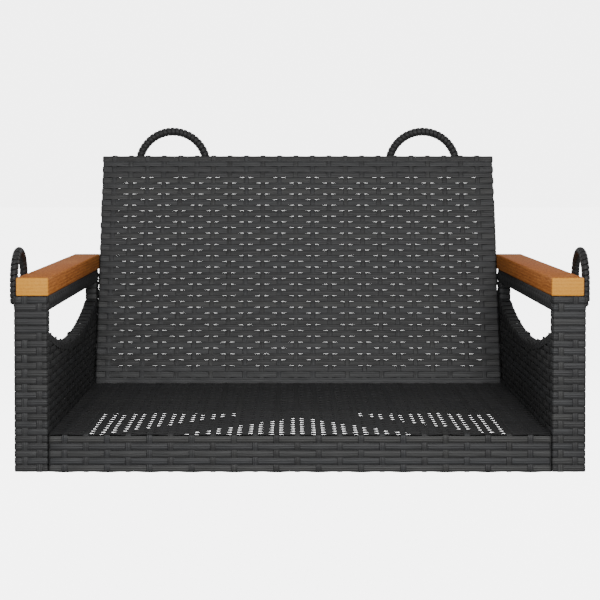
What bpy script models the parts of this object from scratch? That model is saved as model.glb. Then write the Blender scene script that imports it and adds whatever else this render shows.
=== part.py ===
"""Two-seat hanging porch swing: steel tubes covered with woven flat strips, wooden armrests and four hanging rings.

The seat, the backrest and the two sides are frames of welded tube, bolted together. Seen from the front, +X is to
the right, +Y runs to the back and +Z up. Inside the root empty, y is 0 at the front of the posts and z is 0 at
the underside.
"""

import math

import bmesh
import bpy
from mathutils import Matrix, Vector

# Walls and gaps
GAP = 0.0003  # between two pieces that touch
EASE = GAP / 2  # between a tube and the edge of the window that it passes through
STRIP = 0.0012  # thickness of the woven strips round a tube
WALL = 0.0012  # wall of the steel tubes
WEAVE = 0.0015  # thickness of the woven seat and back panels
HOLE_PLAY = 0.0004  # round a fastener or rod, on each side

# Seat
SEAT_WIDTH = 0.640  # between the inner faces of the two sides
SEAT_DEPTH = 0.490
SEAT_HEIGHT = 0.0483
SEAT_RAIL = 0.018  # covered thickness of the four rails
BRACE_WIDTH = 0.0155
BRACE_HEIGHT = 0.0108
BRACE_DROP = 0.005  # from the seat's surface to the top of the crossed braces
BRACE_FOOT = 0.254  # from the middle to where a brace meets the front or rear rail

# Sides
POST_WIDTH = 0.042  # front post and arm rail, across
POST_DEPTH = 0.017
POST_HEIGHT = 0.2234
SIDE_WIDTH = 0.017  # woven side panel and rear post, across
SIDE_OVERRUN = 0.042  # how far the sides run on behind the seat
REAR_POST = 0.026
ARM_RAIL_HEIGHT = 0.019
BASE_RAIL_HEIGHT = 0.014
SIDE_OPENING = 0.028  # from the side panel's upper edge, at its ends, to the arm rail
ARCH_SAG = 0.0344  # how much lower that edge is half way
ARCH_ROD = 0.0035
PANEL_PLAY = 0.0009  # between the panel's ends and the posts
ARCH_STEPS = 20

# Armrests
ARM_THICKNESS = 0.0234
ARM_PLAY = 0.0005  # between an armrest and the backrest, which it runs past
ARM_INSET = 0.0024  # how far it stays inside the outer face
ARM_OVERRUN = 0.013  # how far it runs on behind the arm rail
ARM_ROUNDING = 0.0015

# Backrest
BACK_LEAN = math.radians(18.26)
BACK_LENGTH = 0.375  # along the slope
BACK_THICKNESS = 0.020
BACK_PLAY = 0.002  # between the backrest and each side
BACK_TOP = 0.028  # covered height of the top rail
BACK_BOTTOM = 0.018
BACK_STILE = 0.024

# Hanging rings: centre line, rod and cover
RING_COVER = 0.0015
RING_PLAY = 0.0007  # between a ring's rod and its cover
ARC_STEPS = 10
SIDE_RING_RADIUS = 0.038
SIDE_RING_ROD = 0.0028
SIDE_RING_FROM_FRONT = 0.0726
SIDE_RING_FOOT = 0.0055  # from the underside of the arm rail to where the ends go in
SIDE_RING_RISE = 0.0291  # from the ends to the middle of the half circle
SIDE_RING_PLAY = 0.001  # between the ring's cover and the side's outer face
BACK_RING_RADIUS = 0.0557
BACK_RING_ROD = 0.0041
BACK_RING_SPREAD = 0.206  # from the middle of the backrest to the middle of a ring
BACK_RING_SINK = 0.0152  # how far its middle lies below the top of the backrest
BACK_RING_PLAY = 0.002
RING_BEND = 0.0075  # from the corner of a bend to its ends

# Fasteners
BOLT_RADIUS = 0.003
BOLT_HEAD = (0.0055, 0.003)  # radius and height
SCREW_RADIUS = 0.0022
SCREW_HEAD = (0.0042, 0.0024)
SCREW_GRIP = 0.014  # length inside the wood
BOLT_REACH = 0.006  # length inside the far tube
TURNED_STEPS = 16
SEAT_BOLT_INSET = 0.060  # from the front and the rear of the seat
ARM_SCREW_FRONT = 0.170  # from the front of the side
ARM_SCREW_REAR = 0.084  # from the rear of the side
BACK_BOLT_INSET = 0.0085  # from the front of the rear post

# Worked out
UP = Vector((0, 0, 1))
COVER = STRIP + GAP  # from a tube's face to the outside of its cover
INNER = SEAT_WIDTH / 2
OUTER = INNER + POST_WIDTH
SIDE_OUT = INNER + SIDE_WIDTH
SIDE_DEPTH = SEAT_DEPTH + SIDE_OVERRUN
REAR_POST_FRONT = SIDE_DEPTH - REAR_POST
SEAT_BOLTS = (SEAT_BOLT_INSET, SEAT_DEPTH - SEAT_BOLT_INSET)
ARM_SCREWS = (ARM_SCREW_FRONT, SIDE_DEPTH - ARM_SCREW_REAR)
RAIL_BOTTOM = POST_HEIGHT - ARM_RAIL_HEIGHT
ARCH_HEIGHT = RAIL_BOTTOM - SIDE_OPENING
RAIL_TOP_FACE = SEAT_HEIGHT - WEAVE - GAP
BACK_DIRECTION = Vector((0, math.sin(BACK_LEAN), math.cos(BACK_LEAN)))  # up the slope
BACK_NORMAL = Vector((0, math.cos(BACK_LEAN), -math.sin(BACK_LEAN)))  # out of its rear face
BACK_FOOT = Vector((0, SEAT_DEPTH - BACK_THICKNESS / math.cos(BACK_LEAN), SEAT_HEIGHT + GAP))
BACK_HALF = INNER - BACK_PLAY
BACK_TUBE_FRONT = WEAVE + GAP + COVER
BACK_TUBE_REAR = BACK_THICKNESS - COVER
SIDE_RING_OUTSIDE = SIDE_RING_ROD + RING_PLAY + RING_COVER
BACK_RING_OUTSIDE = BACK_RING_ROD + RING_PLAY + RING_COVER
SIDE_RING_X = OUTER + SIDE_RING_PLAY + SIDE_RING_OUTSIDE
BACK_TOP_EDGE = BACK_FOOT + BACK_DIRECTION * BACK_LENGTH + BACK_NORMAL * BACK_THICKNESS
BACK_RING_Y = BACK_TOP_EDGE.y + BACK_RING_PLAY + BACK_RING_OUTSIDE
DEPTH = BACK_RING_Y + BACK_RING_OUTSIDE

for old in list(bpy.data.objects):
    bpy.data.objects.remove(old)


def material(name, colour, roughness, metallic=0.0):
    made = bpy.data.materials.new(name)
    made.use_nodes = True
    shader = made.node_tree.nodes["Principled BSDF"]
    shader.inputs["Base Color"].default_value = (*colour, 1)
    shader.inputs["Roughness"].default_value = roughness
    shader.inputs["Metallic"].default_value = metallic
    return made


STEEL = ("black_steel", (0.015, 0.015, 0.016), 0.5)
RATTAN = ("woven_strip", (0.045, 0.046, 0.049), 0.6)
WOOD = ("oiled_wood", (0.52, 0.24, 0.08), 0.55)
ZINC = ("zinc_plate", (0.6, 0.6, 0.62), 0.35, 1.0)


def empty(name, location, parent=None, lean=0.0):
    made = bpy.data.objects.new(name, None)
    made.location = location
    made.rotation_euler.x = -lean
    made.parent = parent
    bpy.context.scene.collection.objects.link(made)
    return made


def place(obj, finish, parent):
    """Links an object under its parent and gives it a material of its own."""
    bpy.context.scene.collection.objects.link(obj)
    obj.parent = parent
    obj.data.materials.append(material(f"{finish[0]}_{obj.name}", *finish[1:]))
    return obj


def from_bmesh(name, bm, finish, parent):
    bmesh.ops.recalc_face_normals(bm, faces=bm.faces)
    mesh = bpy.data.meshes.new(name)
    bm.to_mesh(mesh)
    bm.free()
    return place(bpy.data.objects.new(name, mesh), finish, parent)


def cuboid(low, high):
    """A box between two corners, in any order."""
    low, high = Vector(low), Vector(high)
    size = Vector(map(abs, high - low))
    bm = bmesh.new()
    bmesh.ops.create_cube(bm, size=1, matrix=Matrix.LocRotScale((low + high) / 2, None, size))
    return bm


def prism(outline, direction):
    """A solid from a closed outline, pushed along a direction."""
    bm = bmesh.new()
    face = bm.faces.new([bm.verts.new(point) for point in outline])
    pushed = bmesh.ops.extrude_face_region(bm, geom=[face])["geom"]
    moved = [v for v in pushed if isinstance(v, bmesh.types.BMVert)]
    bmesh.ops.translate(bm, verts=moved, vec=direction)
    bmesh.ops.recalc_face_normals(bm, faces=bm.faces)
    return bm


def hollowed(obj, axis, wall, ends=(-1, 1)):
    """Opens an object at its ends along an axis and leaves a wall inside its faces."""
    bm = bmesh.new()
    bm.from_mesh(obj.data)
    opened = [f for f in bm.faces if any(f.normal[axis] * end > 0.99 for end in ends)]
    bmesh.ops.delete(bm, geom=opened, context="FACES")
    bm.to_mesh(obj.data)
    bm.free()
    return solidified(obj, wall)


def solidified(obj, wall):
    modifier = obj.modifiers.new("Wall", "SOLIDIFY")
    modifier.thickness = wall
    modifier.offset = -1
    modifier.use_even_offset = True
    return obj


def tube(name, low, high, axis, parent):
    """A rectangular steel tube, open at both ends."""
    return hollowed(from_bmesh(name, cuboid(low, high), STEEL, parent), axis, WALL)


def sleeve(name, low, high, axis, parent, ends=(-1, 1)):
    """The woven cover round a tube."""
    return hollowed(from_bmesh(name, cuboid(low, high), RATTAN, parent), axis, STRIP, ends)


def cut(obj, cutter_mesh, parent):
    """Cuts a shape out of an object."""
    cutter = from_bmesh(f"cutter_{len(bpy.data.objects)}", cutter_mesh, STEEL, parent)
    cutter.hide_render = True
    cutter.display_type = "WIRE"
    modifier = obj.modifiers.new("Cut", "BOOLEAN")
    modifier.operation = "DIFFERENCE"
    modifier.object = cutter
    return obj


def bore(obj, start, end, radius, parent):
    """Drills a round hole from one point to another."""
    start, end = Vector(start), Vector(end)
    turn = (end - start).to_track_quat("Z", "Y")
    bm = bmesh.new()
    bmesh.ops.create_cone(
        bm, cap_ends=True, segments=TURNED_STEPS, radius1=radius, radius2=radius,
        depth=(end - start).length, matrix=Matrix.LocRotScale((start + end) / 2, turn, None),
    )
    return cut(obj, bm, parent)


def curve(name, path, radius, capped):
    """A round bar along a path, as a curve."""
    data = bpy.data.curves.new(name, "CURVE")
    data.dimensions = "3D"
    data.bevel_depth = radius
    data.bevel_resolution = 2
    data.use_fill_caps = capped
    spline = data.splines.new("POLY")
    spline.points.add(len(path) - 1)
    for point, place_at in zip(spline.points, path):
        point.co = (*place_at, 1)
    return data


def rod(name, path, radius, parent):
    return place(bpy.data.objects.new(name, curve(name, path, radius, True)), STEEL, parent)


def round_sleeve(name, path, outside, wall, parent):
    """A round cover along a path, open at both ends."""
    helper = bpy.data.objects.new("helper", curve(name, path, outside, False))
    mesh = bpy.data.meshes.new_from_object(helper)
    bpy.data.objects.remove(helper)
    mesh.name = name
    mesh.materials.clear()
    return solidified(place(bpy.data.objects.new(name, mesh), RATTAN, parent), wall)


def fastener(name, start, direction, length, radius, head, parent):
    """A button-headed bolt or screw, turned round its axis, with its head's seat at start."""
    head_radius, head_height = head
    profile = [
        (0, -head_height), (head_radius * 0.7, -head_height), (head_radius, -head_height * 0.4),
        (head_radius, 0), (radius, 0), (radius, length), (0, length),
    ]
    bm = bmesh.new()
    points = [bm.verts.new((across, 0, along)) for across, along in profile]
    edges = [bm.edges.new(pair) for pair in zip(points, points[1:])]
    bmesh.ops.spin(
        bm, geom=points + edges, axis=(0, 0, 1), cent=(0, 0, 0), steps=TURNED_STEPS, angle=math.tau
    )
    bmesh.ops.remove_doubles(bm, verts=bm.verts, dist=0.00001)
    obj = from_bmesh(name, bm, ZINC, parent)
    obj.location = start
    obj.rotation_euler = Vector(direction).to_track_quat("Z", "Y").to_euler()
    return obj


def bar_outline(start, end, width):
    """The plan of a slanting bar whose ends are cut square to Y."""
    start, end = Vector(start), Vector(end)
    along = end - start
    shift = Vector((width / 2 * along.length / abs(along.y), 0, 0))
    return [start - shift, start + shift, end + shift, end - shift]


def crossing(a, b, c, d):
    """Where the line from a to b meets the line from c to d, in plan."""
    first, second, between = b - a, d - c, c - a
    share = (between.x * second.y - between.y * second.x) / (first.x * second.y - first.y * second.x)
    return a + first * share


def half_circle(centre, radius, across):
    angles = [math.pi * i / ARC_STEPS for i in range(ARC_STEPS + 1)]
    return [centre + (across * math.cos(a) + UP * math.sin(a)) * radius for a in angles]


def cover_path(centre, radius, across, drop):
    """The centre line of a hanging ring's cover, which ends where the rod starts to bend."""
    legs = [centre + across * radius * hand - UP * (drop - RING_BEND) for hand in (1, -1)]
    return [legs[0], *half_circle(centre, radius, across), legs[1]]


def rod_path(centre, radius, across, drop, inward, reach):
    """A hanging ring's centre line: a half circle, two legs down by drop and both ends turned inward."""
    bend = RING_BEND * 0.8
    legs = []
    for hand in (1, -1):
        foot = centre + across * radius * hand - UP * drop
        corner = [foot + inward * bend, foot, foot + UP * bend]
        rounded = [
            corner[0] * (1 - t) ** 2 + corner[1] * 2 * t * (1 - t) + corner[2] * t ** 2
            for t in (0, 0.25, 0.5, 0.75, 1)
        ]
        legs.append([foot + inward * reach, *rounded])
    return [*legs[0], *half_circle(centre, radius, across), *reversed(legs[1])]


def add_seat(root):
    """Rails all round, crossed braces under the weave, a cover on each rail and the woven surface."""
    half = INNER - GAP
    inside = SEAT_RAIL - COVER  # a rail's inner face
    low, high = COVER, RAIL_TOP_FACE - COVER
    rear = SEAT_DEPTH - SEAT_RAIL
    tube_half = half - COVER
    for name, front in (("front", 0), ("rear", rear)):
        tube(f"seat_{name}_rail", (-tube_half, front + COVER, low),
             (tube_half, front + inside, high), 0, root)
        cover = sleeve(f"seat_{name}_cover", (-half, front, 0), (half, front + SEAT_RAIL, RAIL_TOP_FACE),
                       0, root)
        inner_face = inside + EASE if front == 0 else front + COVER - EASE
        outward = front + SEAT_RAIL / 2 + (SEAT_RAIL if front == 0 else -SEAT_RAIL)
        for hand in (-1, 1):
            cut(cover, cuboid(
                (hand * (half - inside - EASE), inner_face, low - EASE),
                (hand * (tube_half + EASE), outward, high + EASE)), root)
    for name, hand in (("left", -1), ("right", 1)):
        rail = tube(f"seat_{name}_rail", (hand * (half - inside), inside + GAP, low),
                    (hand * tube_half, rear + COVER - GAP, high), 1, root)
        cover = sleeve(f"seat_{name}_cover", (hand * (half - SEAT_RAIL), SEAT_RAIL + GAP, 0),
                       (hand * half, rear - GAP, RAIL_TOP_FACE), 1, root)
        for y in SEAT_BOLTS:
            for piece in (rail, cover):
                bore(piece, (hand * (half - SEAT_RAIL / 2), y, bolt_height()),
                     (hand * (half + COVER), y, bolt_height()), BOLT_RADIUS + HOLE_PLAY, root)
    add_braces(root, inside + GAP, rear + COVER - GAP)
    from_bmesh("seat_weave", cuboid((-half, 0, SEAT_HEIGHT - WEAVE), (half, SEAT_DEPTH, SEAT_HEIGHT)),
               RATTAN, root)


def bolt_height():
    return COVER + BASE_RAIL_HEIGHT / 2


def add_braces(root, front, rear):
    """One long brace and two short ones that end on its flanks, let into the rails' covers."""
    top = SEAT_HEIGHT - BRACE_DROP
    bottom = Vector((0, 0, top - BRACE_HEIGHT))
    ends = [Vector((-BRACE_FOOT, front, 0)), Vector((BRACE_FOOT, rear, 0))]
    long_plan = bar_outline(*ends, BRACE_WIDTH)
    flanks = bar_outline(*ends, BRACE_WIDTH + 2 * GAP)
    turned = [Vector((-p.x, p.y, 0)) for p in ends]
    a, b, c, d = bar_outline(*turned, BRACE_WIDTH)
    front_plan = [a, b, crossing(b, c, flanks[1], flanks[2]), crossing(a, d, flanks[1], flanks[2])]
    rear_plan = [crossing(a, d, flanks[0], flanks[3]), crossing(b, c, flanks[0], flanks[3]), c, d]
    plans = {"seat_brace_long": long_plan, "seat_brace_front": front_plan, "seat_brace_rear": rear_plan}
    for name, plan in plans.items():
        from_bmesh(name, prism([p + bottom for p in plan], (0, 0, BRACE_HEIGHT)), STEEL, root)
    low = Vector((0, 0, bottom.z - GAP))
    for foot_a, foot_b in (ends, turned):
        beyond = (foot_b - foot_a) * EASE / (rear - front)
        window = bar_outline(foot_a - beyond, foot_b + beyond, BRACE_WIDTH + 2 * GAP)
        for cover in ("seat_front_cover", "seat_rear_cover"):
            cut(bpy.data.objects[cover], prism([p + low for p in window],
                                               (0, 0, BRACE_HEIGHT + 2 * GAP)), root)


def add_side(root, name, hand):
    """One side: front post, rear post, base rail, arm rail, the woven panel with its hollow upper edge."""
    thin_in, thin_out = hand * (INNER + COVER), hand * (SIDE_OUT - COVER)
    wide_out = hand * (OUTER - COVER)
    post_back = POST_DEPTH - COVER
    tube(f"{name}_front_post", (thin_in, COVER, COVER), (wide_out, post_back, POST_HEIGHT - GAP), 2, root)
    post_cover = sleeve(f"{name}_front_post_cover", (hand * INNER, 0, 0),
                        (hand * OUTER, POST_DEPTH, POST_HEIGHT), 2, root, ends=(1,))
    rear_in = REAR_POST_FRONT + COVER
    rear_post = tube(f"{name}_rear_post", (thin_in, rear_in, COVER),
                     (thin_out, SIDE_DEPTH - COVER, RAIL_BOTTOM + COVER - GAP), 2, root)
    rear_cover = sleeve(f"{name}_rear_post_cover", (hand * INNER, REAR_POST_FRONT, 0),
                        (hand * SIDE_OUT, SIDE_DEPTH, RAIL_BOTTOM - GAP), 2, root, ends=(1,))
    arm_rail = tube(f"{name}_arm_rail", (thin_in, post_back + GAP, RAIL_BOTTOM + COVER),
                    (wide_out, SIDE_DEPTH - COVER, POST_HEIGHT - COVER), 1, root)
    arm_cover = sleeve(f"{name}_arm_rail_cover", (hand * INNER, POST_DEPTH + GAP, RAIL_BOTTOM),
                       (hand * OUTER, SIDE_DEPTH, POST_HEIGHT), 1, root, ends=(-1,))
    base_top = COVER + BASE_RAIL_HEIGHT
    base_rail = tube(f"{name}_base_rail", (thin_in, post_back + GAP, COVER),
                     (thin_out, rear_in - GAP, base_top), 1, root)
    panel = add_side_panel(root, name, hand)
    windows = ((thin_out, COVER, base_top), (wide_out, RAIL_BOTTOM + COVER, POST_HEIGHT - COVER))
    for out, low, high in windows:
        cut(post_cover, cuboid((thin_in - hand * EASE, post_back + EASE, low - EASE),
                               (out + hand * EASE, POST_DEPTH * 2, high + EASE)), root)
    cut(rear_cover, cuboid((thin_in - hand * EASE, rear_in - EASE, COVER - EASE),
                           (thin_out + hand * EASE, rear_in - REAR_POST, base_top + EASE)), root)
    cut(arm_cover, cuboid((thin_in - hand * EASE, rear_in - EASE, RAIL_BOTTOM - POST_DEPTH),
                          (thin_out + hand * EASE, SIDE_DEPTH - COVER + EASE, RAIL_BOTTOM + COVER - EASE)),
        root)
    for y in SEAT_BOLTS:
        axis = Vector((0, y, bolt_height()))
        for piece in (base_rail, panel):
            bore(piece, axis + Vector((hand * (INNER - GAP), 0, 0)),
                 axis + Vector((hand * (SIDE_OUT + GAP), 0, 0)), BOLT_RADIUS + HOLE_PLAY, root)
    add_side_bolts(root, name, hand, rear_post, rear_cover)
    add_armrest(root, name, hand, arm_rail, arm_cover)
    add_side_ring(root, name, hand, arm_cover)


def arch_point(y, drop=0.0):
    """Height of the side panel's upper edge at y, on one arc of a circle, or of a line that far below it."""
    half = (REAR_POST_FRONT - POST_DEPTH) / 2
    radius = (half ** 2 + ARCH_SAG ** 2) / (2 * ARCH_SAG)
    centre = Vector((0, POST_DEPTH + half, ARCH_HEIGHT - ARCH_SAG + radius))
    return Vector((0, y, centre.z - math.sqrt((radius + drop) ** 2 - (y - centre.y) ** 2)))


def arch_line(start, end, drop=0.0):
    return [arch_point(start + (end - start) * i / ARCH_STEPS, drop) for i in range(ARCH_STEPS + 1)]


def add_side_panel(root, name, hand):
    """The woven panel, one strip thick all round, over the base rail and the bent rod under its upper edge."""
    start, end = POST_DEPTH + PANEL_PLAY, REAR_POST_FRONT - PANEL_PLAY
    inner = Vector((hand * INNER, 0, 0))
    edge = arch_line(end, start)
    outline = [inner + Vector((0, start, 0)), inner + Vector((0, end, 0)), *(inner + p for p in edge)]
    solid = from_bmesh(f"{name}_side_panel", prism(outline, (hand * SIDE_WIDTH, 0, 0)), RATTAN, root)
    panel = hollowed(solid, 1, STRIP)
    middle = Vector((hand * (INNER + SIDE_WIDTH / 2), 0, 0))
    line = arch_line(start + ARCH_ROD, end - ARCH_ROD, STRIP + 2 * GAP + ARCH_ROD)
    rod(f"{name}_arch_rod", [middle + p for p in line], ARCH_ROD, root)
    return panel


def add_side_bolts(root, name, hand, rear_post, rear_cover):
    """Two bolts through the base rail into the seat and one through the rear post into the backrest."""
    seat = Vector((hand * (SIDE_OUT + GAP), 0, bolt_height()))
    inward = Vector((-hand, 0, 0))
    length = SIDE_WIDTH + COVER + BOLT_REACH
    for label, y in zip(("front", "rear"), SEAT_BOLTS):
        fastener(f"{name}_seat_bolt_{label}", seat + Vector((0, y, 0)), inward, length,
                 BOLT_RADIUS, BOLT_HEAD, root)
    y = REAR_POST_FRONT + BACK_BOLT_INSET
    middle = (BACK_TUBE_FRONT + BACK_TUBE_REAR) / 2
    up = (y - BACK_FOOT.y - BACK_NORMAL.y * middle) / BACK_DIRECTION.y
    axis = BACK_FOOT + BACK_DIRECTION * up + BACK_NORMAL * middle
    head = axis + Vector((hand * (SIDE_OUT + GAP), 0, 0))
    bolt_length = length + BACK_PLAY
    fastener(f"{name}_back_bolt", head, inward, bolt_length, BOLT_RADIUS, BOLT_HEAD, root)
    end = head + inward * (bolt_length + GAP)
    stile = bpy.data.objects[f"back_{name}_stile"]
    stile_cover = bpy.data.objects[f"back_{name}_cover"]
    for piece in (rear_post, rear_cover, stile, stile_cover):
        bore(piece, head - inward * GAP, end, BOLT_RADIUS + HOLE_PLAY, root)


def add_armrest(root, name, hand, arm_rail, arm_cover):
    """A flat board on the arm rail, held by two screws from below."""
    low = POST_HEIGHT + GAP
    board = from_bmesh(f"{name}_armrest", cuboid(
        (hand * (INNER - BACK_PLAY + ARM_PLAY), 0, low),
        (hand * (OUTER - ARM_INSET), SIDE_DEPTH + ARM_OVERRUN, low + ARM_THICKNESS)), WOOD, root)
    rounding = board.modifiers.new("Rounding", "BEVEL")
    rounding.width = ARM_ROUNDING
    rounding.segments = 2
    seat = Vector((hand * (INNER + POST_WIDTH / 2), 0, RAIL_BOTTOM - GAP))
    length = POST_HEIGHT - RAIL_BOTTOM + 2 * GAP + SCREW_GRIP
    for label, y in zip(("front", "rear"), ARM_SCREWS):
        start = seat + Vector((0, y, 0))
        fastener(f"{name}_arm_screw_{label}", start, (0, 0, 1), length, SCREW_RADIUS, SCREW_HEAD, root)
        for piece in (arm_rail, arm_cover, board):
            bore(piece, start, start + Vector((0, 0, length + GAP)), SCREW_RADIUS + HOLE_PLAY, root)


def add_side_ring(root, name, hand, arm_cover):
    """A hanging ring standing on the outer face of the arm rail, beside the armrest."""
    height = RAIL_BOTTOM + SIDE_RING_FOOT
    centre = Vector((hand * SIDE_RING_X, SIDE_RING_FROM_FRONT, height + SIDE_RING_RISE))
    inward = Vector((-hand, 0, 0))
    across = Vector((0, 1, 0))
    sizes = (centre, SIDE_RING_RADIUS, across, SIDE_RING_RISE)
    to_tube = SIDE_RING_X - OUTER + COVER - GAP
    rod(f"{name}_side_ring", rod_path(*sizes, inward, to_tube), SIDE_RING_ROD, root)
    round_sleeve(f"{name}_side_ring_cover", cover_path(*sizes), SIDE_RING_OUTSIDE, RING_COVER, root)
    for way in (-1, 1):
        foot = centre + across * SIDE_RING_RADIUS * way - Vector((0, 0, SIDE_RING_RISE))
        bore(arm_cover, foot, foot + inward * (to_tube + EASE), SIDE_RING_ROD + HOLE_PLAY, root)


def add_back(root):
    """The leaning frame, a cover on each of its tubes, and the woven panel on its front."""
    back = empty("backrest", BACK_FOOT, root, BACK_LEAN)
    front = WEAVE + GAP
    rise = BACK_THICKNESS * math.tan(BACK_LEAN)  # keeps the lower rear edge off the seat
    low_end, high_end = rise + BACK_BOTTOM, BACK_LENGTH - BACK_TOP
    tube_half = BACK_HALF - COVER
    stile_in = BACK_HALF - BACK_STILE
    for name, low, high in (("bottom", rise, low_end), ("top", high_end, BACK_LENGTH)):
        tube(f"back_{name}_rail", (-tube_half, BACK_TUBE_FRONT, low + COVER),
             (tube_half, BACK_TUBE_REAR, high - COVER), 0, back)
        cover = sleeve(f"back_{name}_cover", (-BACK_HALF, front, low), (BACK_HALF, BACK_THICKNESS, high),
                       0, back)
        face = high - COVER + EASE if name == "bottom" else low + COVER - EASE
        beyond = high + COVER if name == "bottom" else low - COVER
        for hand in (-1, 1):
            cut(cover, cuboid((hand * (stile_in + COVER - EASE), BACK_TUBE_FRONT - EASE, face),
                              (hand * (tube_half + EASE), BACK_TUBE_REAR + EASE, beyond)), back)
    for name, hand in (("left", -1), ("right", 1)):
        tube(f"back_{name}_stile", (hand * (stile_in + COVER), BACK_TUBE_FRONT, low_end - COVER + GAP),
             (hand * tube_half, BACK_TUBE_REAR, high_end + COVER - GAP), 2, back)
        sleeve(f"back_{name}_cover", (hand * stile_in, front, low_end + GAP),
               (hand * BACK_HALF, BACK_THICKNESS, high_end - GAP), 2, back)
    foot = WEAVE * math.tan(BACK_LEAN)
    from_bmesh("back_weave", cuboid((-BACK_HALF, 0, foot), (BACK_HALF, WEAVE, BACK_LENGTH)), RATTAN, back)


def add_back_rings(root):
    """Two hanging rings just behind the top of the backrest, their ends turned into its top rail."""
    height = BACK_FOOT.z + BACK_DIRECTION.z * BACK_LENGTH - BACK_RING_SINK
    rail_middle = BACK_LENGTH - BACK_TOP / 2
    behind = BACK_RING_Y - BACK_FOOT.y
    foot_height = BACK_FOOT.z + (rail_middle - behind * BACK_DIRECTION.y) / BACK_DIRECTION.z
    across = Vector((1, 0, 0))
    for name, hand in (("left", -1), ("right", 1)):
        centre = Vector((hand * BACK_RING_SPREAD, BACK_RING_Y, height))
        drop = height - foot_height
        foot = centre - Vector((0, 0, drop))
        from_face = (foot - BACK_FOOT).dot(BACK_NORMAL)
        sizes = (centre, BACK_RING_RADIUS, across, drop)
        to_tube = from_face - BACK_TUBE_REAR - GAP
        rod(f"{name}_back_ring", rod_path(*sizes, -BACK_NORMAL, to_tube), BACK_RING_ROD, root)
        round_sleeve(f"{name}_back_ring_cover", cover_path(*sizes), BACK_RING_OUTSIDE, RING_COVER, root)
        for way in (-1, 1):
            end = foot + across * BACK_RING_RADIUS * way
            bore(bpy.data.objects["back_top_cover"], end, end - BACK_NORMAL * (to_tube + EASE),
                 BACK_RING_ROD + HOLE_PLAY, root)


def main():
    root = empty("porch_swing", (0, -DEPTH / 2, 0))
    add_seat(root)
    add_back(root)
    for name, hand in (("left", -1), ("right", 1)):
        add_side(root, name, hand)
    add_back_rings(root)


main()
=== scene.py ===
# %% [markdown]
# Porch swing: the looks.
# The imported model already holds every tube, brace, bolt and ring rod at its real size. This file
# weaves the flat strips over them, lays the wooden armrests on top and gives every surface its
# finish. The frame is loaded first, because each strip is placed from the size of the piece that it
# covers.

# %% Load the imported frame
import math
import random

import bmesh
import bpy
import numpy as np
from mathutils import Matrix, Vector


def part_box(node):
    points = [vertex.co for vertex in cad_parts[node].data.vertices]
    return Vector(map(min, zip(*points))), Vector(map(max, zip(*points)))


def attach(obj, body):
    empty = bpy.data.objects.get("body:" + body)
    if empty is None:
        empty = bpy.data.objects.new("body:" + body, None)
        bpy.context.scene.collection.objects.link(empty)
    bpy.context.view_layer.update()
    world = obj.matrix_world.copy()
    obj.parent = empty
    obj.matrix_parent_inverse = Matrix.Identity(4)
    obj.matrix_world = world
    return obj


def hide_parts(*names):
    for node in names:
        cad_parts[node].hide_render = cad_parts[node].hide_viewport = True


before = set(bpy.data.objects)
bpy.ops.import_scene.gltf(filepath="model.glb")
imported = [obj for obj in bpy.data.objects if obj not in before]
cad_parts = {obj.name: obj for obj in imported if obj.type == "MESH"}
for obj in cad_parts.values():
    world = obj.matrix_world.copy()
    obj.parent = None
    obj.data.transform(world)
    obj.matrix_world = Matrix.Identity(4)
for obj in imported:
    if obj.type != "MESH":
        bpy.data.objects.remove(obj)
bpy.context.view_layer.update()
chance = random.Random(11)

# %% [markdown]
# The camera stands in front of the swing at armrest height, a little over two metres away. It could
# look level with a large lens shift, but the shift also moves every other view, so part of it is
# given as a small tilt.

# %% Camera
CAMERA_AT = (-0.0126, -2.299, 0.3877)
CAMERA_TILT = math.radians(1.6)  # downwards
LENS = 94.5
SENSOR = 36
LEVEL_SHIFT = -0.2225  # the shift that a level camera would need

camera_data = bpy.data.cameras.new("camera")
camera_data.lens = LENS
camera_data.sensor_width = SENSOR
camera_data.shift_x = 0.0165
camera_data.shift_y = LEVEL_SHIFT + math.tan(CAMERA_TILT) * LENS / SENSOR
camera = bpy.data.objects.new("camera", camera_data)
camera.location = CAMERA_AT
camera.rotation_euler = (math.pi / 2 - CAMERA_TILT, 0, 0)
bpy.context.scene.collection.objects.link(camera)
bpy.context.scene.camera = camera
print("camera shift", round(camera_data.shift_x, 4), round(camera_data.shift_y, 4))

# %% [markdown]
# Everything woven on this swing is one product: a flat strip about 8 mm wide and 1.1 mm thick. A
# strip could be a curve with a bevel, but then its section can't be shaped. Here a short piece is
# modelled once, from a cube whose two upper long edges are bevelled into a soft crown, and an Array
# repeats it to the length that is needed.

# %% Strip blank
BLANK_HEIGHT = 0.35  # of the blank, which is 1 wide; lay() gives it its real size
CROWN = 0.16  # bevel along the two upper edges, of the same width
blanks = {}


def select_edges(obj, wanted):
    """Selects the edges of an object in edit mode for which wanted is true."""
    bpy.ops.mesh.select_mode(type="EDGE")
    bpy.ops.mesh.select_all(action="DESELECT")
    shape = bmesh.from_edit_mesh(obj.data)
    for edge in shape.edges:
        edge.select = wanted(edge)
    bmesh.update_edit_mesh(obj.data)


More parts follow.
